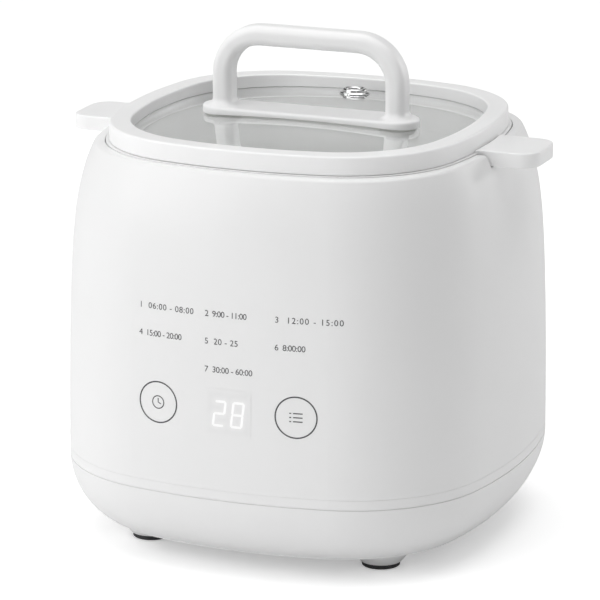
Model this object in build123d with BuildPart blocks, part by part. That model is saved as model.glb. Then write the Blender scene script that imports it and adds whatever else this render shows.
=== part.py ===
from build123d import *
from math import atan2, cos, pi, sin, sqrt
import os

os.makedirs("parts", exist_ok=True)

# Driving dimensions in millimetres; the table is z = 0 and the front faces -Y
body_half = 83.5
base_z = 7.3
waist_z = 31.0
seam_drop = 1.0
rim_z = 147.5
base_sweep = 22.7
base_tuck = 2.8
side_lean = 3.6
shoulder_drop = 6.2
wall = 2.5
rim_wall = 3.4
foot_inset = 38.3
ear_reach = 7.5
ear_half = 13.5
ear_height = 5.4
ear_step = 1.2
lid_inset = 1.55
lid_frame = 7.45
lid_band = 6.7
glass_thickness = 3.0
dome_rise = 2.8
pot_inset = 8.3
pot_taper = 5.0
well_rise = 30.0
grip_half_span = 33.9
grip_rise = 27.4
grip_radius = 3.8
key_offset = 26.4
key_z = 63.4
inlet_rise = 15.0

# Main sizes worked out from the driving ones
seam_z = waist_z - seam_drop
base_round = waist_z - base_z + base_tuck
foot_offset = body_half - foot_inset
ear_tip = body_half + ear_reach
opening_half = body_half - side_lean - shoulder_drop - rim_wall
lid_half = opening_half - lid_inset
lid_window_half = lid_half - lid_frame
pot_half = opening_half - pot_inset
pot_bottom_half = pot_half - pot_taper
pot_bottom_z = seam_z + well_rise
inlet_z = seam_z + inlet_rise

# Plan shape as fractions of the half width: corner arc radius and diagonal reach
corner_share = 0.64
corner_reach = 0.78
corner_centre = corner_reach - corner_share / sqrt(2)
side_share = ((corner_centre - 1) ** 2 + corner_centre ** 2 - corner_share ** 2) / (
    2 * (1 - corner_centre - corner_share)
)
blend_angle = atan2(corner_centre, corner_centre + side_share - 1)

# Levels worked out from the rim
lid_bottom_z = rim_z + 0.5
lid_top_z = lid_bottom_z + lid_band
collar_top_z = rim_z + 0.3
ear_top_z = collar_top_z + ear_step
clamp_bottom_z = lid_bottom_z - 2.7
gasket_height = 1.2
flange_top_z = clamp_bottom_z - gasket_height
flange_height = 1.2
collar_floor_z = flange_top_z - flange_height
collar_bottom_z = collar_floor_z - 1.8
ledge_top_z = collar_bottom_z - 2.0
ledge_bottom_z = ledge_top_z - 2.0
dome_top_z = lid_top_z - 1.9

# Half widths worked out from the opening and the lid
collar_half = opening_half - 0.35
liner_flange_half = opening_half - 0.2
seat_half = lid_half - 3.55
skirt_half = seat_half + 1.4
recess_half = skirt_half + 0.4
flange_half = recess_half - 0.2
liner_half = pot_half + 4.0
liner_wall = 2.0
ledge_half = liner_half + 1.5
collar_bore_half = pot_half + 1.2
glass_half = seat_half - 0.2
glass_gap = 0.08
dome_radius = (glass_half ** 2 + dome_rise ** 2) / (2 * dome_rise)
dome_reach = glass_half + 25.0

# Levels worked out from the underside of the pot
heater_bottom_z = pot_bottom_z - 6.0
reflector_height = 0.6
liner_floor_top_z = heater_bottom_z - 2.0
liner_floor_z = liner_floor_top_z - 2.0


def half_at(z):
    """Half width of the outer surface at height z."""
    if z < waist_z:
        drop = (waist_z - z) / base_round
        return body_half - base_sweep * (1 - sqrt(1 - drop ** 2))
    lift = (z - waist_z) / (rim_z - waist_z)
    return body_half - side_lean * lift ** 2 - shoulder_drop * lift ** 8


def squircle(half, inset=0.0):
    """Rounded square face of four wide side arcs and four corner arcs."""
    side_radius = half * side_share - inset
    corner_radius = half * corner_share - inset
    side_centre = half * (1 - side_share)
    corner = half * corner_centre
    edges = []
    for quarter in range(4):
        turn = quarter * pi / 2

        def spin(x, y):
            return (x * cos(turn) - y * sin(turn), x * sin(turn) + y * cos(turn))

        def on_side(angle):
            return spin(side_centre + side_radius * cos(angle), side_radius * sin(angle))

        def on_corner(angle):
            return spin(corner + corner_radius * cos(angle), corner + corner_radius * sin(angle))

        edges.append(Edge.make_three_point_arc(on_side(-blend_angle), on_side(0), on_side(blend_angle)))
        edges.append(
            Edge.make_three_point_arc(
                on_side(blend_angle), on_corner(pi / 4), on_corner(pi / 2 - blend_angle)
            )
        )
    return Face(Wire(edges))


def dome_z(x, y, top_z, radius):
    """Height of a dome over the point x, y."""
    return top_z - radius + sqrt(radius ** 2 - x ** 2 - y ** 2)


def under_dome(top_z, radius, reach, bottom_z):
    """Solid of revolution with a flat floor and a domed top."""
    edge_z = dome_z(reach, 0, top_z, radius)
    middle_z = dome_z(reach / 2, 0, top_z, radius)
    outline = [
        Edge.make_line((0, 0, bottom_z), (reach, 0, bottom_z)),
        Edge.make_line((reach, 0, bottom_z), (reach, 0, edge_z)),
        Edge.make_three_point_arc((reach, 0, edge_z), (reach / 2, 0, middle_z), (0, 0, top_z)),
        Edge.make_line((0, 0, top_z), (0, 0, bottom_z)),
    ]
    return Solid.revolve(Face(Wire(outline)), 360, Axis.Z)


def bowl(bottom_half, top_half, inset, bottom_z, top_z, radius):
    """Tapering squircle block with a rounded bottom edge."""
    sections = [
        squircle(bottom_half, inset).outer_wire().moved(Location((0, 0, bottom_z))),
        squircle(top_half, inset).outer_wire().moved(Location((0, 0, top_z))),
    ]
    block = Solid.make_loft(sections)
    return block.fillet(radius, block.faces().sort_by(Axis.Z)[0].edges())


def corners(x, y):
    """Four points mirrored about both plan axes."""
    return [(x, y), (-x, y), (-x, -y), (x, -y)]


def wall_y(x, z, inset):
    """Distance from the axis to the front or back surface, less the inset."""
    half = half_at(z)
    return half * (1 - side_share) + sqrt((half * side_share - inset) ** 2 - x ** 2)


# Outer shell: a barrel with a thick rim, an inner ledge and two notches for the pot's ears
shell_shares = [0.08, 0.2, 0.35, 0.5, 0.64, 0.76, 0.85, 0.92, 0.965, 1.0]
shell_levels = [seam_z] + [waist_z + share * (rim_z - waist_z) for share in shell_shares]
notch_half = ear_half + 0.9
notch_floor_z = ear_top_z - ear_height - 0.5
groove_z = seam_z + 3.6
seam_depth = 0.35
seam_gap = 0.2
board_inset = 10.2
board_face_y = board_inset - half_at(key_z)
board_half_height = 17.0
board_margin = 4.0
board_post_x = body_half - 43.5
board_post_rise = board_half_height - 5.0
board_post_spots = [
    (x, z)
    for x in (-board_post_x, board_post_x)
    for z in (key_z - board_post_rise, key_z + board_post_rise)
]
inlet_pad_half = 27.0
inlet_pad_height = 13.5
inlet_face_y = half_at(inlet_z) - 2.4
inlet_pad_y = inlet_face_y - 2.8
inlet_hole_half = 13.8
inlet_hole_height = 10.2
inlet_screw_x = 20.0

with BuildPart() as outer_shell:
    for z in shell_levels:
        with BuildSketch(Plane.XY.offset(z)):
            add(squircle(half_at(z)))
    loft()
    fillet(outer_shell.faces().sort_by(Axis.Z)[-1].edges(), radius=1.6)
    for z in shell_levels[:-3] + [ledge_bottom_z]:
        with BuildSketch(Plane.XY.offset(z)):
            add(squircle(half_at(z), wall))
    loft(mode=Mode.SUBTRACT)
    with BuildSketch(Plane.XY.offset(ledge_bottom_z)):
        add(squircle(ledge_half))
    extrude(amount=ledge_top_z - ledge_bottom_z, mode=Mode.SUBTRACT)
    with BuildSketch(Plane.XY.offset(ledge_top_z)):
        add(squircle(opening_half))
    extrude(amount=rim_z - ledge_top_z + 1, mode=Mode.SUBTRACT)
    with BuildSketch(Plane.XY.offset(notch_floor_z)):
        Rectangle(2 * ear_tip, 2 * notch_half)
    extrude(amount=rim_z - notch_floor_z + 1, mode=Mode.SUBTRACT)
    with BuildSketch(Plane.XY.offset(seam_z)):
        add(squircle(body_half + 2))
        add(squircle(half_at(seam_z), seam_depth), mode=Mode.SUBTRACT)
    extrude(amount=seam_gap, mode=Mode.SUBTRACT)
    with BuildSketch(Plane.XY.offset(groove_z)):
        add(squircle(body_half + 2))
        add(squircle(half_at(groove_z), seam_depth / 3), mode=Mode.SUBTRACT)
    extrude(amount=seam_gap, mode=Mode.SUBTRACT)
    # Mounting pad, pocket and cut-out for the mains inlet
    with BuildSketch(Plane.XZ.offset(-inlet_pad_y)):
        with Locations((0, inlet_z)):
            RectangleRounded(2 * inlet_pad_half, 2 * inlet_pad_height, 3)
    extrude(amount=-(wall_y(inlet_pad_half, inlet_z, 0) - inlet_pad_y))
    with BuildSketch(Plane.XZ.offset(-inlet_face_y)):
        with Locations((0, inlet_z)):
            RectangleRounded(2 * inlet_pad_half - 3, 2 * inlet_pad_height - 3, 2)
    extrude(amount=-6, mode=Mode.SUBTRACT)
    with BuildSketch(Plane.XZ.offset(-inlet_pad_y + 1)):
        with Locations((0, inlet_z)):
            Rectangle(2 * inlet_hole_half, 2 * inlet_hole_height)
        with Locations((-inlet_screw_x, inlet_z), (inlet_screw_x, inlet_z)):
            Circle(1.35)
    extrude(amount=-6, mode=Mode.SUBTRACT)
    # Posts that carry the control board
    with BuildSketch(Plane.XZ.offset(-board_face_y)):
        with Locations(*board_post_spots):
            Circle(2.8)
    extrude(amount=wall_y(board_post_x, key_z, wall / 2) + board_face_y)
    with BuildSketch(Plane.XZ.offset(-board_face_y)):
        with Locations(*board_post_spots):
            Circle(1.05)
    extrude(amount=3.0, mode=Mode.SUBTRACT)
outer_shell.part.label = "outer_shell"
export_step(outer_shell.part, "parts/outer_shell.step")

# Base cover: the curved lower ring of the body
base_floor_z = base_z + 1.3
base_shares = [0.0, 0.11, 0.25, 0.44, 0.67, 1.0]
base_levels = [base_floor_z + share * (seam_z - base_floor_z) for share in base_shares]
base_opening_half = half_at(base_floor_z) - 3.8

with BuildPart() as base_cover:
    for z in base_levels:
        with BuildSketch(Plane.XY.offset(z)):
            add(squircle(half_at(z)))
    loft()
    with BuildSketch(Plane.XY.offset(base_floor_z)):
        add(squircle(base_opening_half))
    for z in base_levels[1:]:
        with BuildSketch(Plane.XY.offset(z)):
            add(squircle(half_at(z), wall))
    loft(mode=Mode.SUBTRACT)
    with BuildSketch(Plane.XY.offset(seam_z)):
        add(squircle(body_half + 2))
        add(squircle(half_at(seam_z), seam_depth), mode=Mode.SUBTRACT)
    extrude(amount=-seam_gap, mode=Mode.SUBTRACT)
    # Locating lip that stands inside the shell
    with BuildSketch(Plane.XY.offset(seam_z - 4)):
        add(squircle(half_at(seam_z), wall + 0.15))
        add(squircle(half_at(seam_z), wall + 1.65), mode=Mode.SUBTRACT)
    extrude(amount=7)
    with BuildSketch(Plane.XY.offset(seam_z)):
        with Locations((0, body_half)):
            Rectangle(2 * inlet_pad_half + 2, 20)
    extrude(amount=4, mode=Mode.SUBTRACT)
base_cover.part.label = "base_cover"
export_step(base_cover.part, "parts/base_cover.step")

# Bottom plate with its moulded feet, board pillars, screw seats and slots
plate_top_z = base_z + 2.0
pad_height = 1.9
pad_radius = 7.0
pad_socket = 1.4
foot_radius = pad_radius + 0.7
foot_root_radius = foot_radius + 4.5
post_x = liner_half - 32.0
post_y = liner_half - 10.0
board_z = plate_top_z + 5.7
board_y = post_y - 30.0
board_half_width = 35.0
board_half_depth = 22.0
pillar_x = board_half_width - 5.0
pillar_y = board_half_depth - 4.0
foot_spots = corners(foot_offset, foot_offset)
post_spots = corners(post_x, post_y)
pillar_spots = [(x, y) for x in (-pillar_x, pillar_x) for y in (board_y - pillar_y, board_y + pillar_y)]

with BuildPart() as bottom_plate:
    with BuildSketch(Plane.XY.offset(base_z)):
        add(squircle(half_at(base_z)))
    extrude(amount=base_floor_z - base_z)
    with BuildSketch(Plane.XY.offset(base_floor_z)):
        add(squircle(base_opening_half - 0.2))
    extrude(amount=plate_top_z - base_floor_z)
    with Locations(*[(x, y, base_z) for x, y in foot_spots]):
        Cone(foot_radius, foot_root_radius, base_z - pad_height, align=(Align.CENTER, Align.CENTER, Align.MAX))
    with BuildSketch(Plane.XY.offset(pad_height)):
        with Locations(*foot_spots):
            Circle(pad_radius)
    extrude(amount=pad_socket, mode=Mode.SUBTRACT)
    with BuildSketch(Plane.XY.offset(plate_top_z)):
        with Locations(*pillar_spots):
            Circle(3.0)
    extrude(amount=board_z - plate_top_z)
    with BuildSketch(Plane.XY.offset(board_z - 5)):
        with Locations(*pillar_spots):
            Circle(1.05)
    extrude(amount=5, mode=Mode.SUBTRACT)
    with BuildSketch(Plane.XY.offset(base_z)):
        with Locations(*post_spots):
            Circle(3.5)
    extrude(amount=1.1, mode=Mode.SUBTRACT)
    with BuildSketch(Plane.XY.offset(base_z)):
        with Locations(*post_spots):
            Circle(1.8)
    extrude(amount=5, mode=Mode.SUBTRACT)
    with BuildSketch(Plane.XY.offset(base_z - 1)):
        with GridLocations(8, 44, 7, 2):
            SlotOverall(22, 3, rotation=90)
    extrude(amount=5, mode=Mode.SUBTRACT)
bottom_plate.part.label = "bottom_plate"
export_step(bottom_plate.part, "parts/bottom_plate.step")

# Rubber pads under the feet
with BuildPart() as foot_pads:
    with BuildSketch():
        with Locations(*foot_spots):
            Circle(pad_radius)
    extrude(amount=pad_height + pad_socket)
    fillet(foot_pads.faces().group_by(Axis.Z)[0].edges(), radius=0.5)
foot_pads.part.label = "foot_pads"
export_step(foot_pads.part, "parts/foot_pads.step")

# Screws that hold the bottom plate to the posts of the inner housing
with BuildPart() as base_screws:
    with BuildSketch(Plane.XY.offset(base_z + 0.1)):
        with Locations(*post_spots):
            Circle(3.1)
    extrude(amount=1.0)
    with BuildSketch(Plane.XY.offset(base_z + 1.1)):
        with Locations(*post_spots):
            Circle(1.5)
    extrude(amount=10)
    with BuildSketch(Plane.XY.offset(base_z + 0.1)):
        with Locations(*post_spots):
            Rectangle(3.6, 0.6)
            Rectangle(0.6, 3.6)
    extrude(amount=0.6, mode=Mode.SUBTRACT)
base_screws.part.label = "base_screws"
export_step(base_screws.part, "parts/base_screws.step")

# Inner housing: the well that the pot hangs in
sensor_bore = 12.1
heater_radius = pot_bottom_half - 10.0
tube_ring = heater_radius - 15.0
screw_ring = heater_radius - 9.0
pin_x = 16.0
pin_y = -sqrt(tube_ring ** 2 - pin_x ** 2)
screw_angles = [pi / 2, 7 * pi / 6, 11 * pi / 6]
heater_spots = [(screw_ring * cos(angle), screw_ring * sin(angle)) for angle in screw_angles]

with BuildPart() as inner_housing:
    add(bowl(liner_half, liner_half, 0, liner_floor_z, ledge_top_z, 8))
    with BuildSketch(Plane.XY.offset(ledge_top_z)):
        add(squircle(liner_flange_half))
    extrude(amount=collar_bottom_z - ledge_top_z)
    add(
        bowl(liner_half, liner_half, liner_wall, liner_floor_top_z, collar_bottom_z, 8 - liner_wall),
        mode=Mode.SUBTRACT,
    )
    with BuildSketch(Plane.XY.offset(liner_floor_z)):
        Circle(sensor_bore)
        with Locations((pin_x, pin_y), (-pin_x, pin_y)):
            Circle(5)
        with Locations(*heater_spots):
            Circle(2.1)
    extrude(amount=5, mode=Mode.SUBTRACT)
    with BuildSketch(Plane.XY.offset(plate_top_z)):
        with Locations(*post_spots):
            Circle(4)
    extrude(amount=liner_floor_z - plate_top_z + 1.5)
    with BuildSketch(Plane.XY.offset(plate_top_z)):
        with Locations(*post_spots):
            Circle(1.55)
    extrude(amount=14, mode=Mode.SUBTRACT)
inner_housing.part.label = "inner_housing"
export_step(inner_housing.part, "parts/inner_housing.step")

# Reflector sheet on the floor of the inner housing
with BuildPart() as heat_reflector:
    with BuildSketch(Plane.XY.offset(liner_floor_top_z)):
        Circle(heater_radius + 3)
        Circle(sensor_bore + 1.9, mode=Mode.SUBTRACT)
        with Locations((pin_x, pin_y), (-pin_x, pin_y)):
            Circle(5, mode=Mode.SUBTRACT)
        with Locations(*heater_spots):
            Circle(2.4, mode=Mode.SUBTRACT)
    extrude(amount=reflector_height)
heat_reflector.part.label = "heat_reflector"
export_step(heat_reflector.part, "parts/heat_reflector.step")

# Cast heating plate with three feet and a ring groove for the tube
tube_radius = 2.8
tube_z = heater_bottom_z + 2.2

with BuildPart() as heating_plate:
    with BuildSketch(Plane.XY.offset(heater_bottom_z)):
        Circle(heater_radius)
    extrude(amount=pot_bottom_z - heater_bottom_z)
    fillet(heating_plate.faces().sort_by(Axis.Z)[-1].edges(), radius=1.0)
    with BuildSketch(Plane.XY.offset(liner_floor_top_z + reflector_height)):
        with Locations(*heater_spots):
            Circle(5)
    extrude(amount=heater_bottom_z - liner_floor_top_z - reflector_height)
    with BuildSketch(Plane.XY.offset(heater_bottom_z)):
        Circle(sensor_bore + 1.4)
    extrude(amount=7, mode=Mode.SUBTRACT)
    with BuildSketch(Plane.XZ):
        with Locations((tube_ring, tube_z)):
            Circle(tube_radius + 0.1)
        with Locations((tube_ring, heater_bottom_z)):
            Rectangle(2 * tube_radius + 0.2, 2 * (tube_z - heater_bottom_z))
    revolve(axis=Axis.Z, mode=Mode.SUBTRACT)
    with BuildSketch(Plane.XY.offset(liner_floor_top_z)):
        with Locations(*heater_spots):
            Circle(2.0)
    extrude(amount=6.5, mode=Mode.SUBTRACT)
heating_plate.part.label = "heating_plate"
export_step(heating_plate.part, "parts/heating_plate.step")

# Screws that hold the heating plate
with BuildPart() as heater_screws:
    with BuildSketch(Plane.XY.offset(liner_floor_z - 2.2)):
        with Locations(*heater_spots):
            Circle(3.5)
    extrude(amount=2.2)
    with BuildSketch(Plane.XY.offset(liner_floor_z)):
        with Locations(*heater_spots):
            Circle(1.9)
    extrude(amount=8)
    with BuildSketch(Plane.XY.offset(liner_floor_z - 2.2)):
        with Locations(*heater_spots):
            Rectangle(4.4, 0.8)
            Rectangle(0.8, 4.4)
    extrude(amount=1.0, mode=Mode.SUBTRACT)
heater_screws.part.label = "heater_screws"
export_step(heater_screws.part, "parts/heater_screws.step")

# Tubular heating element: most of a ring with two legs turned down
leg_angle = atan2(pin_y, pin_x) * 180 / pi

with BuildPart() as heating_element:
    with BuildSketch(Plane.XZ.rotated((0, 0, leg_angle))):
        with Locations((tube_ring, tube_z)):
            Circle(tube_radius)
    revolve(axis=Axis.Z, revolution_arc=180 - 2 * leg_angle)
    with BuildSketch(Plane.XY.offset(tube_z)):
        with Locations((pin_x, pin_y), (-pin_x, pin_y)):
            Circle(tube_radius)
    extrude(amount=-(tube_z - liner_floor_z + 6))
    with BuildSketch(Plane.XY.offset(liner_floor_z - 6)):
        with Locations((pin_x, pin_y), (-pin_x, pin_y)):
            Circle(1.2)
    extrude(amount=-8)
heating_element.part.label = "heating_element"
export_step(heating_element.part, "parts/heating_element.step")

# Guide bush of the temperature sensor, set in the floor of the inner housing
sensor_radius = 8.0
running_gap = 0.08
guide_radius = sensor_bore - 0.1
guide_flange_z = liner_floor_z - 1.4
guide_bottom_z = liner_floor_z - 2.6
sensor_top_z = pot_bottom_z - 0.1
cap_floor_z = liner_floor_z - 13.0

with BuildPart() as sensor_guide:
    with BuildSketch(Plane.XY.offset(guide_flange_z)):
        Circle(16)
    extrude(amount=liner_floor_z - guide_flange_z)
    with BuildSketch(Plane.XY.offset(guide_bottom_z)):
        Circle(guide_radius)
    extrude(amount=liner_floor_top_z - guide_bottom_z)
    with BuildSketch(Plane.XY.offset(guide_bottom_z)):
        Circle(sensor_radius + running_gap)
    extrude(amount=8, mode=Mode.SUBTRACT)
sensor_guide.part.label = "sensor_guide"
export_step(sensor_guide.part, "parts/sensor_guide.step")

# Spring cup under the guide
with BuildPart() as sensor_cup:
    with BuildSketch(Plane.XY.offset(cap_floor_z)):
        Circle(guide_radius + 1.2)
    extrude(amount=guide_flange_z - cap_floor_z)
    with BuildSketch(Plane.XY.offset(cap_floor_z + 1)):
        Circle(guide_radius)
    extrude(amount=guide_flange_z - cap_floor_z, mode=Mode.SUBTRACT)
    with BuildSketch(Plane.XY.offset(cap_floor_z)):
        Circle(3)
    extrude(amount=1, mode=Mode.SUBTRACT)
sensor_cup.part.label = "sensor_cup"
export_step(sensor_cup.part, "parts/sensor_cup.step")

# Temperature sensor: a sprung cap on a tube with a stop flange
with BuildPart() as sensor_plunger:
    with BuildSketch(Plane.XY.offset(sensor_top_z - 2.4)):
        Circle(11)
    extrude(amount=2.4)
    fillet(sensor_plunger.faces().sort_by(Axis.Z)[-1].edges(), radius=0.8)
    with BuildSketch(Plane.XY.offset(guide_bottom_z - 3.4)):
        Circle(sensor_radius)
    extrude(amount=sensor_top_z - 2.4 - guide_bottom_z + 3.4)
    with BuildSketch(Plane.XY.offset(guide_bottom_z - 3.4)):
        Circle(10.5)
    extrude(amount=1.2)
    with BuildSketch(Plane.XY.offset(guide_bottom_z - 3.4)):
        Circle(sensor_radius - 1)
    extrude(amount=sensor_top_z - 2.4 - guide_bottom_z + 3.4, mode=Mode.SUBTRACT)
sensor_plunger.part.label = "sensor_plunger"
export_step(sensor_plunger.part, "parts/sensor_plunger.step")

# Coil spring between the spring cup and the sensor
spring_wire = 0.4
spring_radius = 5.2
spring_bottom_z = cap_floor_z + 1 + spring_wire
spring_top_z = sensor_top_z - 2.4 - spring_wire

with BuildPart() as sensor_spring:
    with BuildLine(Plane.XY.offset(spring_bottom_z)) as coil:
        Helix((spring_top_z - spring_bottom_z) / 7, spring_top_z - spring_bottom_z, spring_radius)
    with BuildSketch(Plane(origin=coil.line @ 0, z_dir=coil.line % 0)):
        Circle(spring_wire)
    sweep()
sensor_spring.part.label = "sensor_spring"
export_step(sensor_spring.part, "parts/sensor_spring.step")

# Thermal cut-out under the floor of the inner housing
cutout_spot = (29, 8)
cutout_blade_x = 3

with BuildPart() as thermal_cutout:
    with BuildSketch(Plane.XY.offset(liner_floor_z - 1)):
        with Locations(cutout_spot):
            SlotOverall(24, 9)
    extrude(amount=1)
    with BuildSketch(Plane.XY.offset(liner_floor_z - 8)):
        with Locations(cutout_spot):
            Circle(6.5)
    extrude(amount=7)
    with BuildSketch(Plane.XY.offset(liner_floor_z - 14)):
        with Locations(cutout_spot):
            with Locations((-cutout_blade_x, 0), (cutout_blade_x, 0)):
                Rectangle(0.8, 4)
    extrude(amount=6)
thermal_cutout.part.label = "thermal_cutout"
export_step(thermal_cutout.part, "parts/thermal_cutout.step")

# Cooking pot: a flanged, tapering bowl
pot_wall = 1.5
pot_floor_z = pot_bottom_z + 2.0

with BuildPart() as pot:
    add(bowl(pot_bottom_half, pot_half, 0, pot_bottom_z, flange_top_z, 9))
    with BuildSketch(Plane.XY.offset(collar_floor_z)):
        add(squircle(flange_half))
    extrude(amount=flange_height)
    add(bowl(pot_bottom_half, pot_half, pot_wall, pot_floor_z, flange_top_z, 7.5), mode=Mode.SUBTRACT)
pot.part.label = "pot"
export_step(pot.part, "parts/pot.step")

# Collar moulded round the pot's flange, with the two lifting ears
with BuildPart() as pot_collar:
    with BuildSketch(Plane.XY.offset(collar_bottom_z)):
        add(squircle(collar_half))
    extrude(amount=collar_top_z - collar_bottom_z)
    with BuildSketch(Plane.XY.offset(ear_top_z - ear_height)):
        Rectangle(2 * ear_tip, 2 * ear_half)
    extrude(amount=ear_height)
    fillet(pot_collar.edges().filter_by(Axis.Z).group_by(SortBy.DISTANCE)[-1], radius=7)
    with BuildSketch(Plane.XY.offset(collar_top_z)):
        add(squircle(lid_half + 0.4))
    extrude(amount=ear_step, mode=Mode.SUBTRACT)
    fillet(pot_collar.faces().group_by(Axis.Z)[-1].edges(), radius=0.5)
    with BuildSketch(Plane.XY.offset(collar_floor_z)):
        add(squircle(recess_half))
    extrude(amount=collar_top_z - collar_floor_z, mode=Mode.SUBTRACT)
    with BuildSketch(Plane.XY.offset(collar_bottom_z)):
        add(squircle(collar_bore_half))
    extrude(amount=collar_floor_z - collar_bottom_z, mode=Mode.SUBTRACT)
pot_collar.part.label = "pot_collar"
export_step(pot_collar.part, "parts/pot_collar.step")

# Egg rack: a pierced tray on four legs with a lifting post
rack_z = pot_floor_z + 13.0
rack_half = pot_bottom_half - 2.6
rack_leg_ring = rack_half - 16.4
rack_hole_ring = rack_half - 7.4
rack_knob_z = clamp_bottom_z - 16.3
egg_offset = 23.0

with BuildPart() as egg_rack:
    with BuildSketch(Plane.XY.offset(rack_z - 6)):
        add(squircle(rack_half))
    extrude(amount=8)
    with BuildSketch(Plane.XY.offset(rack_z - 6)):
        add(squircle(rack_half, 1.6))
    extrude(amount=6, mode=Mode.SUBTRACT)
    with BuildSketch(Plane.XY.offset(rack_z)):
        with Locations(*corners(egg_offset, egg_offset)):
            Circle(17)
        with PolarLocations(rack_hole_ring, 4):
            Circle(3)
        with PolarLocations(13, 4):
            Circle(2)
    extrude(amount=2, mode=Mode.SUBTRACT)
    with BuildSketch(Plane.XY.offset(pot_floor_z)):
        with PolarLocations(rack_leg_ring, 4):
            Circle(3)
    extrude(amount=rack_z - pot_floor_z)
    with BuildSketch(Plane.XY.offset(rack_z + 2)):
        Circle(3.5)
    extrude(amount=rack_knob_z - rack_z)
    with BuildSketch(Plane.XY.offset(rack_knob_z)):
        Circle(8)
    extrude(amount=7)
    fillet(egg_rack.faces().sort_by(Axis.Z)[-1].edges(), radius=2.5)
egg_rack.part.label = "egg_rack"
export_step(egg_rack.part, "parts/egg_rack.step")

# Lid ring: the plastic frame round the glass
with BuildPart() as lid_ring:
    with BuildSketch(Plane.XY.offset(lid_bottom_z)):
        add(squircle(lid_half))
    extrude(amount=lid_band)
    fillet(lid_ring.faces().sort_by(Axis.Z)[-1].edges(), radius=0.8)
    with BuildSketch(Plane.XY.offset(clamp_bottom_z + 0.3)):
        add(squircle(skirt_half))
    extrude(amount=lid_bottom_z - clamp_bottom_z - 0.3)
    with BuildSketch(Plane.XY.offset(lid_bottom_z)):
        add(squircle(lid_window_half))
    extrude(amount=lid_band, mode=Mode.SUBTRACT)
    fillet(lid_ring.faces().sort_by(Axis.Z)[-1].inner_wires()[0].edges(), radius=0.6)
    add(
        Solid.extrude(squircle(seat_half).moved(Location((0, 0, clamp_bottom_z - 1))), Vector(0, 0, 12))
        & under_dome(dome_top_z + glass_gap, dome_radius, dome_reach, clamp_bottom_z - 2),
        mode=Mode.SUBTRACT,
    )
lid_ring.part.label = "lid_ring"
export_step(lid_ring.part, "parts/lid_ring.step")

# Domed glass with holes for the handle screws and the steam vent
glass_under_z = dome_top_z - glass_thickness
vent_x = -2.0
vent_y = lid_window_half - 10.3
vent_z = dome_z(vent_x, vent_y, dome_top_z, dome_radius)
vent_normal = (vent_x, vent_y, vent_z - dome_top_z + dome_radius)
vent_plane = Plane(origin=(vent_x, vent_y, vent_z), z_dir=vent_normal)

with BuildPart() as lid_glass:
    with BuildSketch(Plane.XY.offset(clamp_bottom_z - 1)):
        add(squircle(glass_half))
    extrude(amount=lid_top_z - clamp_bottom_z + 1)
    add(under_dome(dome_top_z, dome_radius, dome_reach, clamp_bottom_z - 2), mode=Mode.INTERSECT)
    add(under_dome(glass_under_z, dome_radius, dome_reach + 2, clamp_bottom_z - 8), mode=Mode.SUBTRACT)
    with BuildSketch(Plane.XY.offset(clamp_bottom_z)):
        with Locations((-grip_half_span, 0), (grip_half_span, 0)):
            Circle(2.8)
    extrude(amount=15, mode=Mode.SUBTRACT)
    with BuildSketch(vent_plane.offset(-6)):
        Circle(3.8)
    extrude(amount=12, mode=Mode.SUBTRACT)
lid_glass.part.label = "lid_glass"
export_step(lid_glass.part, "parts/lid_glass.step")

# Clamp ring that holds the glass in the lid ring from below
with BuildPart() as lid_clamp:
    with BuildSketch(Plane.XY.offset(clamp_bottom_z)):
        add(squircle(seat_half))
        add(squircle(lid_window_half + 0.4), mode=Mode.SUBTRACT)
    extrude(amount=lid_band)
    add(under_dome(glass_under_z - glass_gap, dome_radius, dome_reach, clamp_bottom_z - 2), mode=Mode.INTERSECT)
lid_clamp.part.label = "lid_clamp"
export_step(lid_clamp.part, "parts/lid_clamp.step")

# Silicone seal between the clamp ring and the pot's flange
with BuildPart() as lid_gasket:
    with BuildSketch(Plane.XY.offset(flange_top_z)):
        add(squircle(seat_half))
        add(squircle(lid_window_half + 1.3), mode=Mode.SUBTRACT)
    extrude(amount=gasket_height)
lid_gasket.part.label = "lid_gasket"
export_step(lid_gasket.part, "parts/lid_gasket.step")

# Handle: a bent bar with rounded corners on a round-ended base plate that follows the glass
plate_half_length = grip_half_span + 8.2
plate_half_width = 8.4
handle_plate_z = lid_top_z + 0.5
grip_z = lid_top_z + grip_rise
grip_depth = 4.8
grip_corner = grip_radius - 0.9
grip_bend = 14.9
handle_seal = 0.5
screw_spots = [(-grip_half_span, 0), (grip_half_span, 0)]

with BuildPart() as handle:
    with BuildSketch(Plane.XY.offset(dome_top_z - 3)):
        SlotOverall(2 * plate_half_length, 2 * plate_half_width)
    extrude(amount=handle_plate_z - dome_top_z + 3)
    fillet(handle.faces().sort_by(Axis.Z)[-1].edges(), radius=1.1)
    with BuildLine(Plane.XZ) as bar:
        FilletPolyline(
            (-grip_half_span, handle_plate_z - 1.5),
            (-grip_half_span, grip_z),
            (grip_half_span, grip_z),
            (grip_half_span, handle_plate_z - 1.5),
            radius=grip_bend,
        )
    with BuildSketch(Plane.XY.offset(handle_plate_z - 1.5)):
        with Locations((-grip_half_span, 0)):
            RectangleRounded(2 * grip_radius, 2 * grip_depth, grip_corner)
    sweep()
    leg_edges = handle.edges().filter_by(lambda e: abs(e.center().Z - handle_plate_z) < 0.01)
    fillet(leg_edges.filter_by(lambda e: e.length < 35), radius=2.6)
    add(under_dome(dome_top_z + handle_seal, dome_radius, dome_reach, clamp_bottom_z), mode=Mode.SUBTRACT)
    with BuildSketch(Plane.XY.offset(dome_top_z - 3)):
        with Locations(*screw_spots):
            Circle(2.0)
    extrude(amount=15, mode=Mode.SUBTRACT)
handle.part.label = "handle"
export_step(handle.part, "parts/handle.step")

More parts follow.
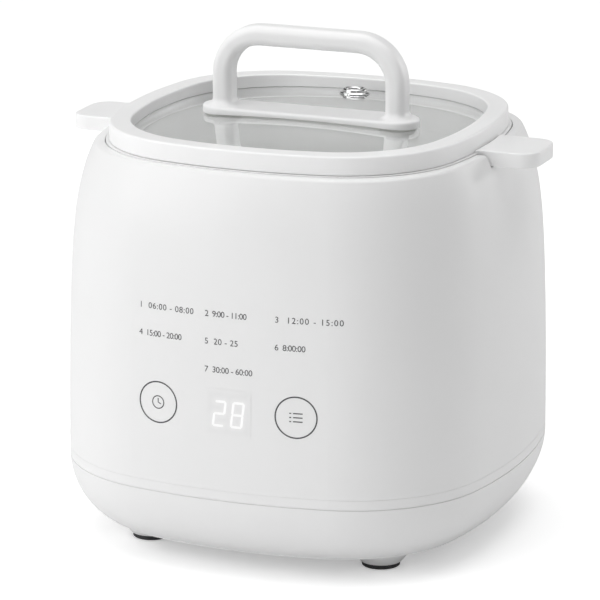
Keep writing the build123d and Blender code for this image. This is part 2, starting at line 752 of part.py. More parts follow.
# Thin seal under the handle plate
with BuildPart() as handle_gasket:
    with BuildSketch(Plane.XY.offset(dome_top_z - 3)):
        SlotOverall(2 * plate_half_length - 2, 2 * plate_half_width - 2)
        with Locations(*screw_spots):
            Circle(2.8, mode=Mode.SUBTRACT)
    extrude(amount=6)
    add(under_dome(dome_top_z + handle_seal, dome_radius, dome_reach, clamp_bottom_z), mode=Mode.INTERSECT)
    add(under_dome(dome_top_z, dome_radius, dome_reach + 2, clamp_bottom_z - 2), mode=Mode.SUBTRACT)
handle_gasket.part.label = "handle_gasket"
export_step(handle_gasket.part, "parts/handle_gasket.step")

# Soft washers and screws that hold the handle from below the glass
washer_z = dome_z(grip_half_span, 0, glass_under_z, dome_radius) - 1.6

with BuildPart() as handle_washers:
    with BuildSketch(Plane.XY.offset(washer_z)):
        with Locations(*screw_spots):
            Circle(6.5)
            Circle(2.3, mode=Mode.SUBTRACT)
    extrude(amount=4)
    add(under_dome(glass_under_z, dome_radius, dome_reach, clamp_bottom_z - 8), mode=Mode.INTERSECT)
handle_washers.part.label = "handle_washers"
export_step(handle_washers.part, "parts/handle_washers.step")

with BuildPart() as handle_screws:
    with BuildSketch(Plane.XY.offset(washer_z - 2)):
        with Locations(*screw_spots):
            Circle(4.2)
    extrude(amount=2)
    with BuildSketch(Plane.XY.offset(washer_z)):
        with Locations(*screw_spots):
            Circle(1.9)
    extrude(amount=12)
    with BuildSketch(Plane.XY.offset(washer_z - 2)):
        with Locations(*screw_spots):
            Rectangle(5, 1)
            Rectangle(1, 5)
    extrude(amount=1.1, mode=Mode.SUBTRACT)
handle_screws.part.label = "handle_screws"
export_step(handle_screws.part, "parts/handle_screws.step")

# Steam vent: a flanged metal eyelet set square to the dome
eyelet_bore = 2.0
eyelet_tube = 3.6
eyelet_flange = 5.8

with BuildPart() as vent_eyelet:
    with BuildSketch(Plane.XZ):
        with BuildLine():
            Polyline(
                (3.1, 1.2),
                (3.1, 0.8),
                (eyelet_bore, 0.8),
                (eyelet_bore, -glass_thickness - 0.7),
                (eyelet_flange - 0.6, -glass_thickness - 0.7),
                (eyelet_flange - 0.6, -glass_thickness - 0.03),
                (eyelet_tube, -glass_thickness - 0.03),
                (eyelet_tube, 0),
                (eyelet_flange, 0),
                (eyelet_flange, 0.3),
                (eyelet_flange - 0.4, 0.7),
                (4.7, 0.7),
                (4.7, 1.2),
            )
            ThreePointArc((4.7, 1.2), (3.9, 2.0), (3.1, 1.2))
        make_face()
    revolve(axis=Axis.Z)
vent_eyelet_placed = vent_eyelet.part.moved(vent_plane.location)
vent_eyelet_placed.label = "vent_eyelet"
export_step(vent_eyelet_placed, "parts/vent_eyelet.step")

# Control board behind the front wall
board_thickness = 1.6
board_back_y = board_face_y + board_thickness

with BuildPart() as control_board:
    with BuildSketch(Plane.XZ.offset(-board_back_y)):
        with Locations((0, key_z)):
            RectangleRounded(2 * (board_post_x + board_margin), 2 * board_half_height, 2)
        with Locations(*board_post_spots):
            Circle(1.4, mode=Mode.SUBTRACT)
    extrude(amount=board_thickness)
control_board.part.label = "control_board"
export_step(control_board.part, "parts/control_board.step")

with BuildPart() as control_screws:
    with BuildSketch(Plane.XZ.offset(-board_back_y)):
        with Locations(*board_post_spots):
            Circle(2.3)
    extrude(amount=-1.3)
    with BuildSketch(Plane.XZ.offset(-board_back_y)):
        with Locations(*board_post_spots):
            Circle(1.0)
    extrude(amount=4.2)
control_screws.part.label = "control_screws"
export_step(control_screws.part, "parts/control_screws.step")

# Two-digit display and the shade round it
display_x = 1.3
display_z = key_z - 1.0
display_width = 15.0
display_height = 14.0
shade_wall = 1.5
shade_front_y = -wall_y(10, display_z, wall) + 0.2

with BuildPart() as led_display:
    with BuildSketch(Plane.XZ.offset(-board_face_y)):
        with Locations((display_x, display_z)):
            Rectangle(display_width, display_height)
    extrude(amount=-shade_front_y + board_face_y - 1.2)
led_display.part.label = "led_display"
export_step(led_display.part, "parts/led_display.step")

with BuildPart() as light_shade:
    with BuildSketch(Plane.XZ.offset(-board_face_y)):
        with Locations((display_x, display_z)):
            Rectangle(display_width + 2 * shade_wall, display_height + 2 * shade_wall)
            Rectangle(display_width, display_height, mode=Mode.SUBTRACT)
    extrude(amount=-shade_front_y + board_face_y)
light_shade.part.label = "light_shade"
export_step(light_shade.part, "parts/light_shade.step")

# Springs that bring the two touch keys to the front wall
touch_wire = 0.35
touch_length = wall_y(key_offset, key_z, wall) + board_face_y - 2 * touch_wire - 0.5

touch_centre = (key_offset, board_face_y - touch_wire, key_z)

with BuildPart() as touch_springs:
    with BuildLine() as turns:
        Helix(touch_length / 4, touch_length, 4.4, center=touch_centre, direction=(0, -1, 0))
    with BuildSketch(Plane(origin=turns.line @ 0, z_dir=turns.line % 0)):
        Circle(touch_wire)
    sweep()
    mirror(about=Plane.YZ)
touch_springs.part.label = "touch_springs"
export_step(touch_springs.part, "parts/touch_springs.step")

# Power board and its components
with BuildPart() as power_board:
    with BuildSketch(Plane.XY.offset(board_z)):
        with Locations((0, board_y)):
            Rectangle(2 * board_half_width, 2 * board_half_depth)
        with Locations(*pillar_spots):
            Circle(1.4, mode=Mode.SUBTRACT)
    extrude(amount=board_thickness)
power_board.part.label = "power_board"
export_step(power_board.part, "parts/power_board.step")

component_z = board_z + board_thickness

with BuildPart() as board_screws:
    with BuildSketch(Plane.XY.offset(component_z)):
        with Locations(*pillar_spots):
            Circle(2.4)
    extrude(amount=1.4)
    with BuildSketch(Plane.XY.offset(component_z)):
        with Locations(*pillar_spots):
            Circle(1.0)
    extrude(amount=-5.5)
board_screws.part.label = "board_screws"
export_step(board_screws.part, "parts/board_screws.step")

with BuildPart() as relay:
    with BuildSketch(Plane.XY.offset(component_z)):
        with Locations((-19, board_y - 2)):
            RectangleRounded(19, 15.5, 0.8)
    extrude(amount=15)
relay.part.label = "relay"
export_step(relay.part, "parts/relay.step")

transformer_spot = (15, board_y - 10)

with BuildPart() as transformer:
    with BuildSketch(Plane.XY.offset(component_z)):
        with Locations(transformer_spot):
            Rectangle(17, 14)
    extrude(amount=4)
    with BuildSketch(Plane.XY.offset(component_z + 4)):
        with Locations(transformer_spot):
            Rectangle(13, 10)
    extrude(amount=5)
    with BuildSketch(Plane.XY.offset(component_z + 9)):
        with Locations(transformer_spot):
            Rectangle(17, 14)
    extrude(amount=4)
transformer.part.label = "transformer"
export_step(transformer.part, "parts/transformer.step")

with BuildPart() as capacitors:
    with BuildSketch(Plane.XY.offset(component_z)):
        with Locations((8, board_y + 10), (20, board_y + 10)):
            Circle(4.5)
    extrude(amount=13)
    fillet(capacitors.faces().group_by(Axis.Z)[-1].edges(), radius=0.6)
capacitors.part.label = "capacitors"
export_step(capacitors.part, "parts/capacitors.step")

with BuildPart() as fuse:
    with BuildSketch(Plane.XY.offset(component_z)):
        with Locations((-4, board_y + 16)):
            RectangleRounded(9, 5, 1)
    extrude(amount=9)
fuse.part.label = "fuse"
export_step(fuse.part, "parts/fuse.step")

with BuildPart() as buzzer:
    with BuildSketch(Plane.XY.offset(component_z)):
        with Locations((-3, board_y + 4)):
            Circle(4.6)
            Circle(1.0, mode=Mode.SUBTRACT)
    extrude(amount=6)
buzzer.part.label = "buzzer"
export_step(buzzer.part, "parts/buzzer.step")

with BuildPart() as board_tabs:
    with BuildSketch(Plane.XY.offset(component_z)):
        with Locations(*[(-24 + 6 * n, board_y + 12) for n in range(3)]):
            Rectangle(0.8, 6.3)
    extrude(amount=8)
board_tabs.part.label = "board_tabs"
export_step(board_tabs.part, "parts/board_tabs.step")

# Mains inlet: a flanged socket with three blade pins and two screws
inlet_flange = 2.4
inlet_back_y = liner_half + 0.6
socket_floor_y = inlet_back_y + 1.4
pin_spots = [(-7, inlet_z - 2), (0, inlet_z + 2), (7, inlet_z - 2)]
inlet_screw_spots = [(-inlet_screw_x, inlet_z), (inlet_screw_x, inlet_z)]
inlet_front_y = inlet_face_y + inlet_flange
pin_tail = 3.0
pin_reach = 14.0
socket_half = inlet_hole_half - 1.7
socket_half_height = inlet_hole_height - 2.0
socket_shoulder = 4.1

with BuildPart() as inlet_body:
    with BuildSketch(Plane.XZ.offset(-inlet_face_y)):
        with Locations((0, inlet_z)):
            RectangleRounded(2 * inlet_pad_half - 4, 2 * inlet_pad_height - 4, 2)
    extrude(amount=-inlet_flange)
    with BuildSketch(Plane.XZ.offset(-inlet_back_y)):
        with Locations((0, inlet_z)):
            Rectangle(2 * inlet_hole_half - 0.6, 2 * inlet_hole_height - 0.4)
    extrude(amount=-(inlet_face_y - inlet_back_y))
    with BuildSketch(Plane.XZ.offset(-socket_floor_y)):
        with BuildLine():
            Polyline(
                (-socket_half, inlet_z - socket_half_height),
                (socket_half, inlet_z - socket_half_height),
                (socket_half, inlet_z + socket_half_height - socket_shoulder),
                (socket_half - socket_shoulder, inlet_z + socket_half_height),
                (socket_shoulder - socket_half, inlet_z + socket_half_height),
                (-socket_half, inlet_z + socket_half_height - socket_shoulder),
                close=True,
            )
        make_face()
    extrude(amount=-20, mode=Mode.SUBTRACT)
    with BuildSketch(Plane.XZ.offset(-inlet_back_y + 1)):
        with Locations(*pin_spots):
            Rectangle(2, 4)
    extrude(amount=-4, mode=Mode.SUBTRACT)
    with BuildSketch(Plane.XZ.offset(-inlet_face_y + 1)):
        with Locations(*inlet_screw_spots):
            Circle(1.7)
    extrude(amount=-6, mode=Mode.SUBTRACT)
    with BuildSketch(Plane.XZ.offset(-inlet_front_y + 1.3)):
        with Locations(*inlet_screw_spots):
            Circle(3.1)
    extrude(amount=-6, mode=Mode.SUBTRACT)
inlet_body.part.label = "inlet_body"
export_step(inlet_body.part, "parts/inlet_body.step")

with BuildPart() as inlet_pins:
    with BuildSketch(Plane.XZ.offset(-inlet_back_y + pin_tail)):
        with Locations(*pin_spots):
            Rectangle(2, 4)
    extrude(amount=-(socket_floor_y - inlet_back_y + pin_tail + pin_reach))
inlet_pins.part.label = "inlet_pins"
export_step(inlet_pins.part, "parts/inlet_pins.step")

with BuildPart() as inlet_screws:
    with BuildSketch(Plane.XZ.offset(-inlet_front_y + 1.3)):
        with Locations(*inlet_screw_spots):
            Circle(2.9)
    extrude(amount=-1.2)
    with BuildSketch(Plane.XZ.offset(-inlet_front_y + 1.3)):
        with Locations(*inlet_screw_spots):
            Circle(1.3)
    extrude(amount=8)
    with BuildSketch(Plane.XZ.offset(-inlet_front_y + 0.1)):
        with Locations(*inlet_screw_spots):
            Rectangle(3.4, 0.6)
            Rectangle(0.6, 3.4)
    extrude(amount=0.6, mode=Mode.SUBTRACT)
inlet_screws.part.label = "inlet_screws"
export_step(inlet_screws.part, "parts/inlet_screws.step")
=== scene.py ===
import math

import bmesh
import bpy
import numpy as np
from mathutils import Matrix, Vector
from mathutils.bvhtree import BVHTree


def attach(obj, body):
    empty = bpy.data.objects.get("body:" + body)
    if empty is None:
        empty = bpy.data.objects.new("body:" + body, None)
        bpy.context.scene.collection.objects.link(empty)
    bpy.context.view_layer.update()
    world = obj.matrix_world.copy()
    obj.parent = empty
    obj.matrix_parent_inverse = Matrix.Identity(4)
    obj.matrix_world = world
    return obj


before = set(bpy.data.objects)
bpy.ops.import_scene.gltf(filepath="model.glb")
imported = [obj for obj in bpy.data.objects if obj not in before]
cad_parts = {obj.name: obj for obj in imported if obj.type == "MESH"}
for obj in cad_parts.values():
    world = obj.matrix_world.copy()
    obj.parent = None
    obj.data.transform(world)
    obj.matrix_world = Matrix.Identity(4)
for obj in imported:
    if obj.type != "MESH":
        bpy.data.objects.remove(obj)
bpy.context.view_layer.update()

MM = 0.001

# Places on the front wall, in millimetres
KEY_X = 26.4
KEY_Z = 63.4
KEY_RADIUS = 7.5
KEY_LINE = 0.5
LABEL_ROWS = (97.4, 87.4, 77.2)
LABEL_COLUMNS = (-34.3, -7.9, 18.4)
LABEL_SIZE = 3.1
KEY_INK_LINE = 0.36
DIGIT_PLACES = (-4.5, 2.4)
DIGIT_Z = 57.9
DIGIT_HEIGHT = 8.9
DIGIT_WIDTH = 3.9
DIGIT_SLANT = 0.11
DIGIT_STROKE = 0.36
DISPLAY_CENTRE = (1.3, 62.8)
DISPLAY_HALF = (8.6, 8.4)
DISPLAY_FADE = 1.8
FILM = 0.05

# Camera of the photograph
AZIMUTH = math.radians(21.366)
ELEVATION = math.radians(15.419)
DISTANCE = 1.5
AIM_HEIGHT = 0.07858
AIM_RIGHT = -0.003855
AIM_UP = 0.004351
FOCAL_PIXELS = 4039.0
PICTURE = 600
SENSOR = 36.0

# Strength of the surroundings and of the display
FILL_LEFT = 0.65
FILL_RIGHT = 0.31
FILL_AXIS = (0.8, -0.6, 0.0)
BELT_LOW = 0.32
BELT_DARK = 0.03
WINDOW_SHADE = 0.965
DIGIT_LIGHT = 0.3


# Node helpers

def new_material(name):
    """Material with an empty tree, its nodes, links and principled shader."""
    material = bpy.data.materials.new(name)
    material.use_nodes = True
    nodes = material.node_tree.nodes
    return material, nodes, material.node_tree.links, nodes["Principled BSDF"]


def noise(nodes, links, scale, detail=2.0):
    """Noise texture in object coordinates; scale is in waves per metre."""
    place = nodes.new("ShaderNodeTexCoord")
    texture = nodes.new("ShaderNodeTexNoise")
    texture.inputs["Scale"].default_value = scale
    texture.inputs["Detail"].default_value = detail
    links.new(place.outputs["Object"], texture.inputs["Vector"])
    return texture


def ramp(nodes, links, source, low, high, start=0.3, end=0.7):
    """Colour ramp from low to high over a factor."""
    node = nodes.new("ShaderNodeValToRGB")
    node.color_ramp.elements[0].position = start
    node.color_ramp.elements[1].position = end
    node.color_ramp.elements[0].color = (*low, 1)
    node.color_ramp.elements[1].color = (*high, 1)
    links.new(source, node.inputs["Fac"])
    return node


def spread(nodes, links, source, low, high):
    """Maps a factor to the range from low to high."""
    node = nodes.new("ShaderNodeMapRange")
    node.inputs["To Min"].default_value = low
    node.inputs["To Max"].default_value = high
    links.new(source, node.inputs["Value"])
    return node.outputs["Result"]


def add_bump(nodes, links, shader, height, strength, distance):
    """Bump from a height factor."""
    node = nodes.new("ShaderNodeBump")
    node.inputs["Strength"].default_value = strength
    node.inputs["Distance"].default_value = distance
    links.new(height, node.inputs["Height"])
    links.new(node.outputs["Normal"], shader.inputs["Normal"])


def moulded(name, tone, rough, grain=2600, grain_depth=0.00002, drift=0.012, coat=0.0, depth=0.0):
    """Moulded plastic or rubber: slow colour drift, uneven gloss and a fine grain."""
    material, nodes, links, shader = new_material(name)
    slow = noise(nodes, links, 14, 3)
    low = tuple(c * (1 - drift) for c in tone)
    high = tuple(min(1.0, c * (1 + drift)) for c in tone)
    links.new(ramp(nodes, links, slow.outputs["Fac"], low, high).outputs["Color"], shader.inputs["Base Color"])
    gloss = noise(nodes, links, 90, 4)
    links.new(spread(nodes, links, gloss.outputs["Fac"], rough * 0.85, rough * 1.15), shader.inputs["Roughness"])
    fine = noise(nodes, links, grain, 1)
    add_bump(nodes, links, shader, fine.outputs["Fac"], 0.25, grain_depth)
    shader.inputs["Coat Weight"].default_value = coat
    shader.inputs["Coat Roughness"].default_value = 0.12
    if depth:
        shader.inputs["Subsurface Weight"].default_value = 0.35
        shader.inputs["Subsurface Radius"].default_value = (1, 1, 1)
        shader.inputs["Subsurface Scale"].default_value = depth
    return material


def metal(name, tone, rough, stretch=(1, 1, 1), grain=700, depth=0.00001):
    """Metal with a direction of brushing given by the stretch of its noise."""
    material, nodes, links, shader = new_material(name)
    place = nodes.new("ShaderNodeTexCoord")
    mapping = nodes.new("ShaderNodeMapping")
    mapping.inputs["Scale"].default_value = stretch
    texture = nodes.new("ShaderNodeTexNoise")
    texture.inputs["Scale"].default_value = grain
    texture.inputs["Detail"].default_value = 3
    links.new(place.outputs["Object"], mapping.inputs["Vector"])
    links.new(mapping.outputs["Vector"], texture.inputs["Vector"])
    low = tuple(c * 0.9 for c in tone)
    links.new(ramp(nodes, links, texture.outputs["Fac"], low, tone).outputs["Color"], shader.inputs["Base Color"])
    links.new(spread(nodes, links, texture.outputs["Fac"], rough * 0.7, rough * 1.3), shader.inputs["Roughness"])
    add_bump(nodes, links, shader, texture.outputs["Fac"], 0.2, depth)
    shader.inputs["Metallic"].default_value = 1.0
    return material


def ink(name, tone):
    """Printed ink, a little uneven."""
    return moulded(name, tone, 0.55, grain=4000, grain_depth=0.000004, drift=0.06)


def lit_wall(name, tone, rough):
    """The wall's own plastic where the display shines through it, from two values kept on its points."""
    material = moulded(name, tone, rough, coat=0.1)
    nodes, links = material.node_tree.nodes, material.node_tree.links
    shader = nodes["Principled BSDF"]
    wall = shader.inputs["Base Color"].links[0].from_socket
    window = nodes.new("ShaderNodeAttribute")
    window.attribute_name = "window"
    shade = nodes.new("ShaderNodeMix")
    shade.data_type = "RGBA"
    shade.blend_type = "MULTIPLY"
    links.new(window.outputs["Fac"], shade.inputs["Factor"])
    links.new(wall, shade.inputs["A"])
    shade.inputs["B"].default_value = (WINDOW_SHADE, WINDOW_SHADE, WINDOW_SHADE, 1)
    links.new(shade.outputs["Result"], shader.inputs["Base Color"])
    glow = nodes.new("ShaderNodeAttribute")
    glow.attribute_name = "glow"
    links.new(spread(nodes, links, glow.outputs["Fac"], 0.0, DIGIT_LIGHT), shader.inputs["Emission Strength"])
    shader.inputs["Emission Color"].default_value = (1, 1, 1, 1)
    return material


def pane(name):
    """Tempered glass: clear with a faint tint, and slight ripples in its gloss."""
    material, nodes, links, shader = new_material(name)
    ripple = noise(nodes, links, 22, 1)
    add_bump(nodes, links, shader, ripple.outputs["Fac"], 0.04, 0.0004)
    tint = ramp(nodes, links, ripple.outputs["Fac"], (0.93, 0.945, 0.945), (0.96, 0.97, 0.97))
    links.new(tint.outputs["Color"], shader.inputs["Base Color"])
    rays = nodes.new("ShaderNodeLightPath")
    links.new(spread(nodes, links, rays.outputs["Is Shadow Ray"], 1.0, 0.05), shader.inputs["Alpha"])
    shader.inputs["Roughness"].default_value = 0.03
    shader.inputs["IOR"].default_value = 1.5
    shader.inputs["Transmission Weight"].default_value = 1.0
    shader.inputs["Coat Weight"].default_value = 0.8
    shader.inputs["Coat Roughness"].default_value = 0.03
    return material


SHELL = moulded("shell_plastic", (0.86, 0.86, 0.86), 0.42, coat=0.1)
LID_WHITE = moulded("lid_plastic", (0.93, 0.93, 0.93), 0.36, coat=0.15, depth=0.0008)
HANDLE_WHITE = moulded("handle_plastic", (0.91, 0.91, 0.91), 0.38, coat=0.1, depth=0.002)
INNER = moulded("inner_plastic", (0.72, 0.72, 0.71), 0.6)
RACK = moulded("rack_plastic", (0.86, 0.86, 0.85), 0.45)
DARK = moulded("dark_plastic", (0.025, 0.025, 0.028), 0.5, drift=0.15)
BLUE = moulded("relay_plastic", (0.02, 0.09, 0.33), 0.35, drift=0.08)
BOARD = moulded("board_green", (0.01, 0.10, 0.035), 0.4, grain=900, drift=0.25)
RUBBER = moulded("foot_rubber", (0.035, 0.035, 0.037), 0.7, grain=1500, grain_depth=0.00008, drift=0.2)
SEAL = moulded("seal_silicone", (0.66, 0.66, 0.64), 0.55)
CHROME = metal("vent_steel", (0.7, 0.7, 0.7), 0.1, grain=300, depth=0.000002)
STEEL = metal("sheet_steel", (0.62, 0.62, 0.62), 0.35, stretch=(1, 12, 1))
SCREW = metal("screw_steel", (0.6, 0.6, 0.6), 0.3)
TUBE = metal("tube_steel", (0.3, 0.31, 0.3), 0.45)
CAST = metal("cast_aluminium", (0.6, 0.6, 0.61), 0.5, grain=260, depth=0.00005)
BRASS = metal("brass_tabs", (0.62, 0.45, 0.16), 0.3)
POT = moulded("coated_pot", (0.9, 0.9, 0.89), 0.35, coat=0.2)
GLASS = pane("lid_glass")
INK = ink("print_ink", (0.07, 0.07, 0.075))
DISPLAY = lit_wall("display_wall", (0.86, 0.86, 0.86), 0.42)

FINISHES = {
    SHELL: ("outer_shell", "base_cover", "bottom_plate"),
    LID_WHITE: ("lid_ring", "lid_clamp", "pot_collar"),
    HANDLE_WHITE: ("handle",),
    INNER: ("inner_housing", "sensor_guide", "sensor_cup"),
    RACK: ("egg_rack",),
    DARK: (
        "thermal_cutout", "light_shade", "transformer", "capacitors", "fuse", "buzzer", "inlet_body",
        "led_display",
    ),
    BLUE: ("relay",),
    BOARD: ("control_board", "power_board"),
    RUBBER: ("foot_pads",),
    SEAL: ("lid_gasket", "handle_gasket", "handle_washers"),
    CHROME: ("vent_eyelet",),
    STEEL: ("heat_reflector", "sensor_spring", "touch_springs"),
    SCREW: ("base_screws", "heater_screws", "control_screws", "board_screws", "inlet_screws", "handle_screws"),
    TUBE: ("heating_element",),
    CAST: ("heating_plate", "sensor_plunger"),
    BRASS: ("board_tabs", "inlet_pins"),
    POT: ("pot",),
    GLASS: ("lid_glass",),
}
for material, nodes_of_finish in FINISHES.items():
    for node in nodes_of_finish:
        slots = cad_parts[node].data.materials
        slots.clear()
        slots.append(material)


# Printing on the front wall

shell_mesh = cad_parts["outer_shell"].data
SHELL_TREE = BVHTree.FromPolygons([v.co for v in shell_mesh.vertices], [p.vertices for p in shell_mesh.polygons])


def front_y(x, z, lift):
    """Y of the front wall's outer face at x and z, in metres, moved out by lift millimetres."""
    hit = SHELL_TREE.ray_cast(Vector((x, -0.2, z)), Vector((0, 1, 0)))[0]
    return hit.y - lift * MM


def lay_on_front(name, outline_mesh, material, lift=FILM):
    """Turns a flat mesh drawn in x and z into a printed film on the front wall."""
    for vertex in outline_mesh.vertices:
        x, z = vertex.co.x, vertex.co.z
        vertex.co = (x, front_y(x, z, lift), z)
    piece = bpy.data.objects.new(name, outline_mesh)
    bpy.context.collection.objects.link(piece)
    outline_mesh.materials.clear()
    outline_mesh.materials.append(material)
    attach(piece, "housing")
    return piece


def flat_mesh(name, faces):
    """Mesh of polygons given as lists of (x, z) in millimetres."""
    shape = bmesh.new()
    for face in faces:
        shape.faces.new([shape.verts.new((x * MM, 0, z * MM)) for x, z in face])
    mesh = bpy.data.meshes.new(name)
    shape.to_mesh(mesh)
    shape.free()
    return mesh


def band(points, width, closed):
    """Quads of a line of the given width along points."""
    faces = []
    sides = []
    count = len(points)
    for i, (x, z) in enumerate(points):
        before = points[i - 1] if closed or i else points[i]
        after = points[(i + 1) % count] if closed or i < count - 1 else points[i]
        dx, dz = after[0] - before[0], after[1] - before[1]
        length = math.hypot(dx, dz)
        nx, nz = -dz / length * width / 2, dx / length * width / 2
        sides.append(((x + nx, z + nz), (x - nx, z - nz)))
    for i in range(count if closed else count - 1):
        a, b = sides[i], sides[(i + 1) % count]
        faces.append([a[0], a[1], b[1], b[0]])
    return faces


def arc(x, z, radius, start=0.0, end=360.0, steps=72, squash=1.0):
    """Points on an arc about x, z."""
    angles = [math.radians(start + (end - start) * i / steps) for i in range(steps + (end - start < 360))]
    return [(x + radius * squash * math.cos(a), z + radius * math.sin(a)) for a in angles]


def words(name, text, x, z, size, spacing):
    """Text as a flat mesh in x and z."""
    curve = bpy.data.curves.new(name, "FONT")
    curve.body = text
    curve.size = size * MM
    curve.space_character = spacing
    curve.resolution_u = 4
    holder = bpy.data.objects.new(name, curve)
    bpy.context.collection.objects.link(holder)
    bpy.context.view_layer.update()
    mesh = bpy.data.meshes.new_from_object(holder)
    bpy.data.objects.remove(holder)
    for vertex in mesh.vertices:
        vertex.co = (vertex.co.x + x * MM, 0, vertex.co.y + z * MM)
    return mesh


def make_keys():
    """Outline of each touch key with a plain symbol in it: a clock, and a list of three bars."""
    for side, x in (("left", -KEY_X), ("right", KEY_X)):
        ring = flat_mesh("key_ring_" + side, band(arc(x, KEY_Z, KEY_RADIUS), KEY_LINE, True))
        lay_on_front("key_ring_" + side, ring, INK)
    clock = band(arc(-KEY_X, KEY_Z, 2.3, steps=40), KEY_INK_LINE, True)
    clock += band([(-KEY_X, KEY_Z + 1.5), (-KEY_X, KEY_Z), (-KEY_X + 1.1, KEY_Z - 0.5)], KEY_INK_LINE, False)
    lay_on_front("clock_symbol", flat_mesh("clock_symbol", clock), INK)
    bars = []
    for row in (-1.5, 0, 1.5):
        bars += band([(KEY_X - 2.4, KEY_Z + row), (KEY_X - 1.7, KEY_Z + row)], 0.4, False)
        bars += band([(KEY_X - 1.0, KEY_Z + row), (KEY_X + 2.4, KEY_Z + row)], 0.4, False)
    lay_on_front("list_symbol", flat_mesh("list_symbol", bars), INK)


def make_labels():
    """Programme numbers, each with its cooking times in plain digits."""
    texts = (
        ("1  06:00 - 08:00", 1.1), ("2  9:00 - 11:00", 0.9), ("3  12:00 - 15:00", 1.2),
        ("4  15:00 - 20:00", 0.9), ("5  20 - 25", 1.05), ("6  8:00:00", 0.92),
        ("7  30:00 - 60:00", 0.94),
    )
    spots = [(column, row) for row in (0, 1) for column in (0, 1, 2)] + [(1, 2)]
    for number, ((text, spacing), (column, row)) in enumerate(zip(texts, spots), 1):
        name = f"label_{number}"
        mesh = words(name, text, LABEL_COLUMNS[column], LABEL_ROWS[row], LABEL_SIZE, spacing)
        lay_on_front(name, mesh, INK)


def digit_lines(lit, x):
    """Centre lines of the lit segments: top, two right, bottom, two left, middle."""
    width, height, half, gap = DIGIT_WIDTH, DIGIT_HEIGHT, DIGIT_HEIGHT / 2, 0.45
    lines = [
        ((gap, height), (width - gap, height)),
        ((width, height - gap), (width, half + gap)),
        ((width, half - gap), (width, gap)),
        ((gap, 0), (width - gap, 0)),
        ((0, gap), (0, half - gap)),
        ((0, half + gap), (0, height - gap)),
        ((gap, half), (width - gap, half)),
    ]
    return [
        [(x + u + DIGIT_SLANT * w, DIGIT_Z + w) for u, w in line]
        for line, on in zip(lines, lit) if on
    ]


def line_distance(x, z, start, end):
    """Distance from a point to a line segment."""
    dx, dz = end[0] - start[0], end[1] - start[1]
    along = ((x - start[0]) * dx + (z - start[1]) * dz) / (dx * dx + dz * dz)
    along = min(1.0, max(0.0, along))
    return math.hypot(x - start[0] - along * dx, z - start[1] - along * dz)


def make_display():
    """Fine grid over the display: a faintly darker window and two softly lit digits."""
    lines = digit_lines((1, 1, 0, 1, 1, 0, 1), DIGIT_PLACES[0]) + digit_lines((1,) * 7, DIGIT_PLACES[1])
    steps = 88
    (cx, cz), (hx, hz) = DISPLAY_CENTRE, DISPLAY_HALF
    side = steps + 1
    spots = [(cx - hx + 2 * hx * i / steps, cz - hz + 2 * hz * k / steps) for k in range(side) for i in range(side)]
    hits = np.array([front_y(x * MM, z * MM, 0) for x, z in spots])
    flat = np.array(spots)
    terms = np.stack([np.ones(len(flat)), flat[:, 0], flat[:, 1], flat[:, 0] ** 2, flat[:, 1] ** 2], axis=1)
    smooth = terms @ np.linalg.lstsq(terms, hits, rcond=None)[0]
    lift = FILM * MM + max(0.0, float((smooth - hits).max()))
    points = [(x * MM, float(y) - lift, z * MM) for (x, z), y in zip(spots, smooth)]
    faces = [
        (k * side + i, k * side + i + 1, (k + 1) * side + i + 1, (k + 1) * side + i)
        for k in range(steps) for i in range(steps)
    ]
    mesh = bpy.data.meshes.new("display_film")
    mesh.from_pydata(points, [], faces)
    mesh.shade_smooth()
    window = mesh.attributes.new("window", "FLOAT", "POINT")
    glow = mesh.attributes.new("glow", "FLOAT", "POINT")
    for i, (x, z) in enumerate(spots):
        edge = min(hx - abs(x - cx), hz - abs(z - cz)) / DISPLAY_FADE
        window.data[i].value = min(1.0, max(0.0, edge))
        gap = min(line_distance(x, z, *line) for line in lines)
        core = min(1.0, max(0.0, (DIGIT_STROKE + 0.18 - gap) / 0.36))
        window_fade = min(1.0, max(0.0, edge))
        glow.data[i].value = max(core, 0.16 * window_fade * math.exp(-((gap / 1.5) ** 2)))
    mesh.materials.append(DISPLAY)
    film = bpy.data.objects.new("display_film", mesh)
    bpy.context.collection.objects.link(film)
    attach(film, "housing")


make_keys()
make_labels()
make_display()


# Floor, lights and camera

def make_floor():
    """Pale floor that stays white to the camera and keeps the object's shadow."""
    size = 3.0
    mesh = bpy.data.meshes.new("floor")
    mesh.from_pydata([(-size, -size, 0), (size, -size, 0), (size, size, 0), (-size, size, 0)], [], [(0, 1, 2, 3)])
    floor = bpy.data.objects.new("floor", mesh)
    bpy.context.collection.objects.link(floor)
    material, nodes, links, shader = new_material("floor_paint")
    shader.inputs["Base Color"].default_value = (0.93, 0.93, 0.93, 1)
    shader.inputs["Roughness"].default_value = 0.9
    shader.inputs["Specular IOR Level"].default_value = 0.0
    rays = nodes.new("ShaderNodeLightPath")
    shader.inputs["Emission Color"].default_value = (1, 1, 1, 1)
    links.new(spread(nodes, links, rays.outputs["Is Camera Ray"], 0.0, 0.34), shader.inputs["Emission Strength"])
    mesh.materials.append(material)


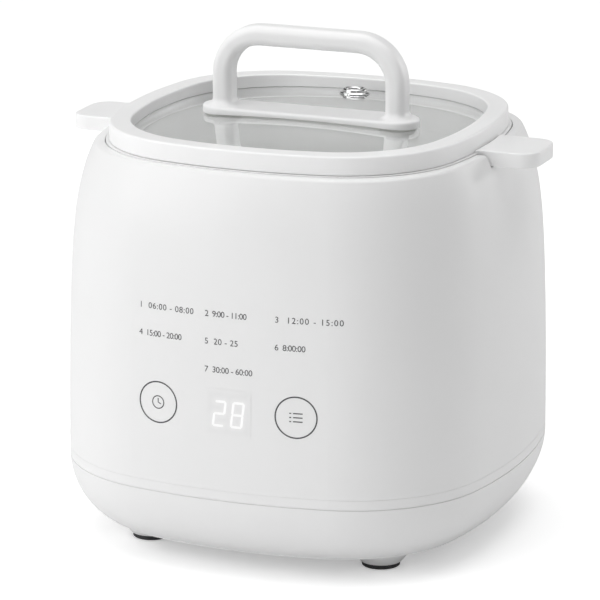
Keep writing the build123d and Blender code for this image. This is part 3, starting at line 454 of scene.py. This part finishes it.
def make_world():
    """Pale surroundings: white to the camera and through glass, and a studio with a dark belt in reflections."""
    world = bpy.data.worlds.new("studio")
    bpy.context.scene.world = world
    world.use_nodes = True
    nodes, links = world.node_tree.nodes, world.node_tree.links
    background = nodes["Background"]
    rays = nodes.new("ShaderNodeLightPath")
    direction = nodes.new("ShaderNodeTexCoord")
    split = nodes.new("ShaderNodeSeparateXYZ")
    links.new(direction.outputs["Generated"], split.inputs[0])
    belt = nodes.new("ShaderNodeValToRGB")
    stops = [(0.0, 0.5), (0.3, BELT_LOW), (0.4, BELT_DARK), (0.58, BELT_DARK), (0.7, 1.0), (1.0, 1.0)]
    points = belt.color_ramp.elements
    while len(points) < len(stops):
        points.new(0.5)
    for point, (place, level) in zip(points, stops):
        point.position = place
        point.color = (level, level, level, 1)
    links.new(split.outputs["Z"], belt.inputs["Fac"])
    shown = nodes.new("ShaderNodeMix")
    shown.data_type = "FLOAT"
    links.new(rays.outputs["Is Glossy Ray"], shown.inputs["Factor"])
    across = nodes.new("ShaderNodeVectorMath")
    across.operation = "DOT_PRODUCT"
    links.new(direction.outputs["Generated"], across.inputs[0])
    across.inputs[1].default_value = FILL_AXIS
    fill = nodes.new("ShaderNodeMapRange")
    fill.inputs["From Min"].default_value = -1.0
    fill.inputs["To Min"].default_value = FILL_LEFT
    fill.inputs["To Max"].default_value = FILL_RIGHT
    links.new(across.outputs["Value"], fill.inputs["Value"])
    links.new(fill.outputs["Result"], shown.inputs["A"])
    links.new(belt.outputs["Color"], shown.inputs["B"])
    seen = nodes.new("ShaderNodeMath")
    seen.operation = "MAXIMUM"
    links.new(rays.outputs["Is Camera Ray"], seen.inputs[0])
    links.new(rays.outputs["Is Transmission Ray"], seen.inputs[1])
    final = nodes.new("ShaderNodeMix")
    final.data_type = "FLOAT"
    links.new(seen.outputs[0], final.inputs["Factor"])
    links.new(shown.outputs["Result"], final.inputs["A"])
    final.inputs["B"].default_value = 1.0
    links.new(final.outputs["Result"], background.inputs["Strength"])
    background.inputs["Color"].default_value = (1, 1, 1, 1)


def make_lamp(name, place, target, size, power):
    """Square soft lamp aimed at a point."""
    lamp = bpy.data.lights.new(name, "AREA")
    lamp.shape = "SQUARE"
    lamp.size = size
    lamp.energy = power
    holder = bpy.data.objects.new(name, lamp)
    bpy.context.collection.objects.link(holder)
    holder.location = place
    holder.rotation_euler = (Vector(target) - Vector(place)).to_track_quat("-Z", "Y").to_euler()


def make_camera():
    """Camera at the photograph's angle, distance and framing."""
    back = Vector((
        math.sin(AZIMUTH) * math.cos(ELEVATION),
        -math.cos(AZIMUTH) * math.cos(ELEVATION),
        math.sin(ELEVATION),
    ))
    right = Vector((math.cos(AZIMUTH), math.sin(AZIMUTH), 0))
    up = back.cross(right)
    centre = Vector((0, 0, AIM_HEIGHT))
    place = centre + DISTANCE * back
    aim = centre + AIM_RIGHT * right + AIM_UP * up
    camera = bpy.data.cameras.new("camera")
    camera.lens = FOCAL_PIXELS * SENSOR / PICTURE
    camera.sensor_width = SENSOR
    holder = bpy.data.objects.new("camera", camera)
    bpy.context.collection.objects.link(holder)
    holder.location = place
    holder.rotation_euler = (aim - place).to_track_quat("-Z", "Y").to_euler()
    bpy.context.scene.camera = holder


make_floor()
make_world()
make_lamp("key_lamp", (-1.0, -1.1, 0.8), (0, 0, 0.08), 1.3, 11.7)
make_lamp("top_lamp", (0.1, 0.0, 1.5), (0, 0, 0.1), 1.2, 7.8)
make_lamp("edge_lamp", (1.0, 1.3, 0.5), (0, 0, 0.08), 0.7, 3.9)
make_camera()
bpy.context.scene.view_settings.view_transform = "Standard"
